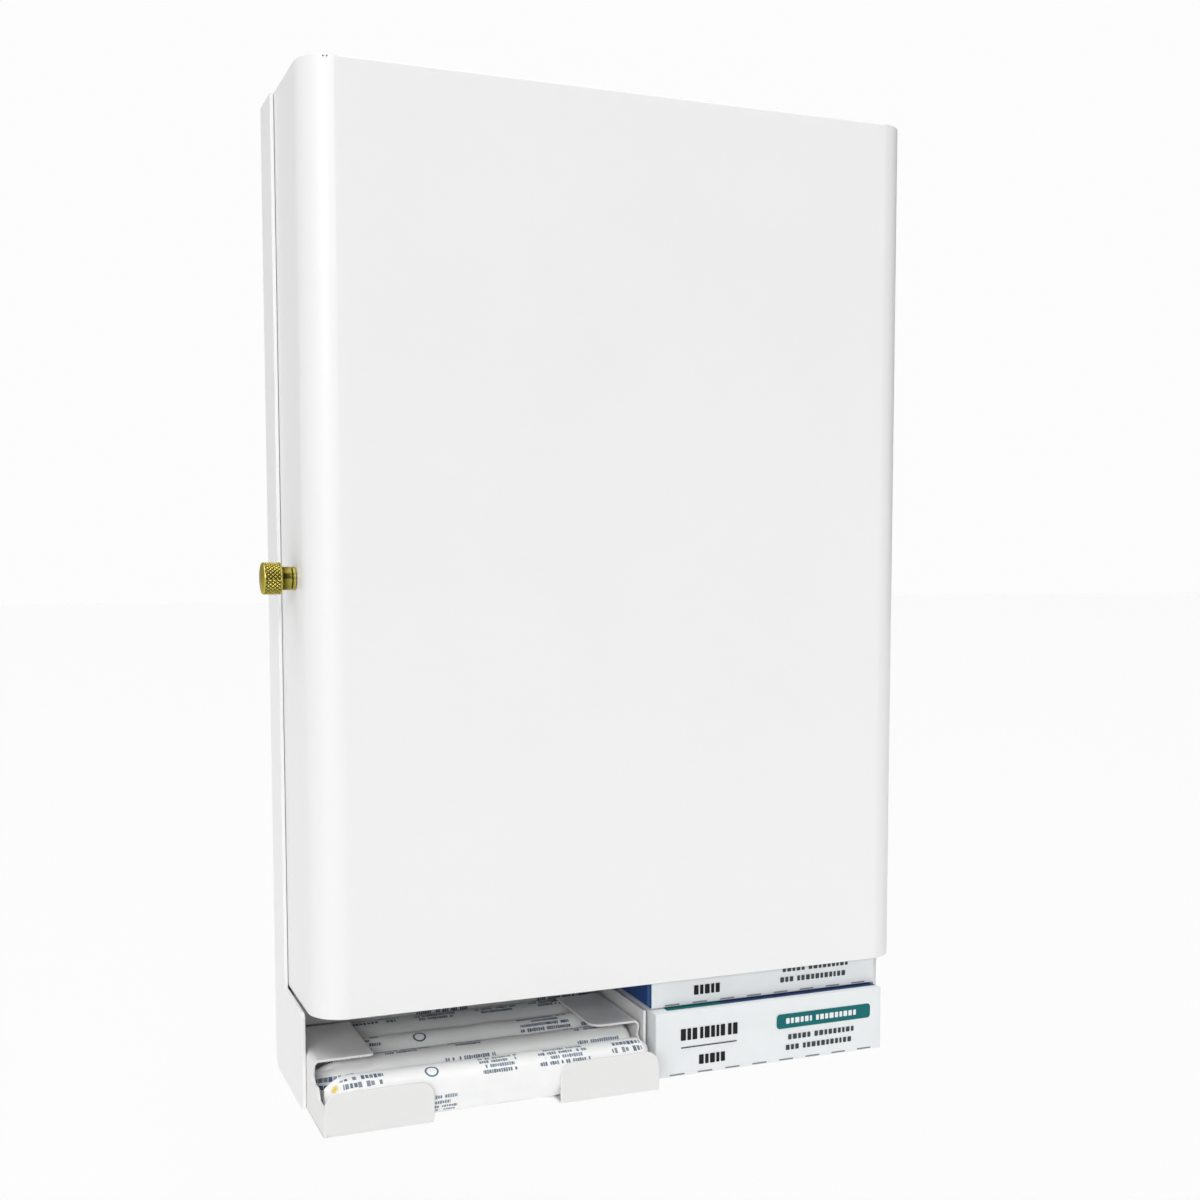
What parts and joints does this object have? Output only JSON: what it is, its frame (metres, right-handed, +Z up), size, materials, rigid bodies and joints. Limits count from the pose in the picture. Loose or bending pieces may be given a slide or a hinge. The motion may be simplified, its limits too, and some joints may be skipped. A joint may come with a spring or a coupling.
{
  "type": "tampon and pad dispenser",
  "caption": "Wall-hung sheet-metal dispenser: wrapped tampons feed into a lipped tray at the left, pad boxes rest on a shelf at the right, under a hinged cover with a brass thumb screw.",
  "frame": {"origin": "middle of the back plate's rear face, on the wall plane", "axes": "+X to the right seen from the front, +Y out of the back plate's rear face into the wall, +Z up"},
  "size_m": [0.243, 0.0857, 0.356],
  "materials": {
    "white_coat": "smooth gloss white powder coat",
    "zinc_steel": "bright zinc-plated steel",
    "brass": "turned and knurled, lightly tarnished",
    "paper_wrap": "satin white paper wrapper with dark blue print",
    "printed_card": "printed folding carton, dark blue, teal and white"
  },
  "bodies": {
    "cabinet": {"back_pan": "white_coat", "magazine_left": "white_coat", "magazine_right": "white_coat", "pad_guide_left": "white_coat", "pad_guide_right": "white_coat", "pad_shelf": "white_coat", "tampon_tray": "white_coat", "latch_keeper": "zinc_steel", "hinge_leaf_cabinet": "zinc_steel", "hinge_pin": "zinc_steel", "cabinet_rivet_1": "white_coat", "cabinet_rivet_2": "white_coat", "cabinet_rivet_3": "white_coat", "tampon_02": "paper_wrap", "tampon_03": "paper_wrap", "tampon_04": "paper_wrap", "tampon_05": "paper_wrap", "tampon_06": "paper_wrap", "tampon_07": "paper_wrap", "tampon_08": "paper_wrap", "tampon_09": "paper_wrap", "tampon_10": "paper_wrap", "tampon_11": "paper_wrap", "tampon_12": "paper_wrap", "tampon_13": "paper_wrap", "tampon_14": "paper_wrap", "pad_box_2": "printed_card", "pad_box_3": "printed_card", "pad_box_4": "printed_card", "pad_box_5": "printed_card", "pad_box_6": "printed_card", "pad_box_7": "printed_card"},
    "cover": {"front_cover": "white_coat", "hinge_leaf_cover": "zinc_steel", "cover_rivet_1": "white_coat", "cover_rivet_2": "white_coat", "cover_rivet_3": "white_coat"},
    "thumb_screw": {"thumb_screw": "brass", "retaining_ring": "zinc_steel"},
    "clamp_nut": {"clamp_nut": "brass"},
    "front_tampon": {"tampon_front": "paper_wrap"},
    "front_box": {"pad_box_front": "printed_card"}
  },
  "joints": [
    {"name": "cover_hinge", "type": "hinge", "parent": "cabinet", "child": "cover", "pos_m": [0.1146, -0.0239, 0.018], "axis": [0, 0, 1], "range_deg": [0, 110]},
    {"name": "thumb_turn", "type": "hinge", "parent": "cover", "child": "thumb_screw", "pos_m": [-0.115, -0.0485, 0.0077], "axis": [-1, 0, 0], "range_deg": [0, 720]},
    {"name": "nut_slide", "type": "slide", "parent": "cover", "child": "clamp_nut", "axis": [1, 0, 0], "range_m": [0, 0.00141]},
    {"name": "tampon_lift", "type": "slide", "parent": "cabinet", "child": "front_tampon", "axis": [0, 0, 1], "range_m": [0, 0.0145]},
    {"name": "box_pull", "type": "slide", "parent": "cabinet", "child": "front_box", "axis": [0, -1, 0], "range_m": [0, 0.062]}
  ],
  "couplings": [
    {"joint": "nut_slide", "follows": "thumb_turn", "m_per_rad": 0.00011141}
  ]
}
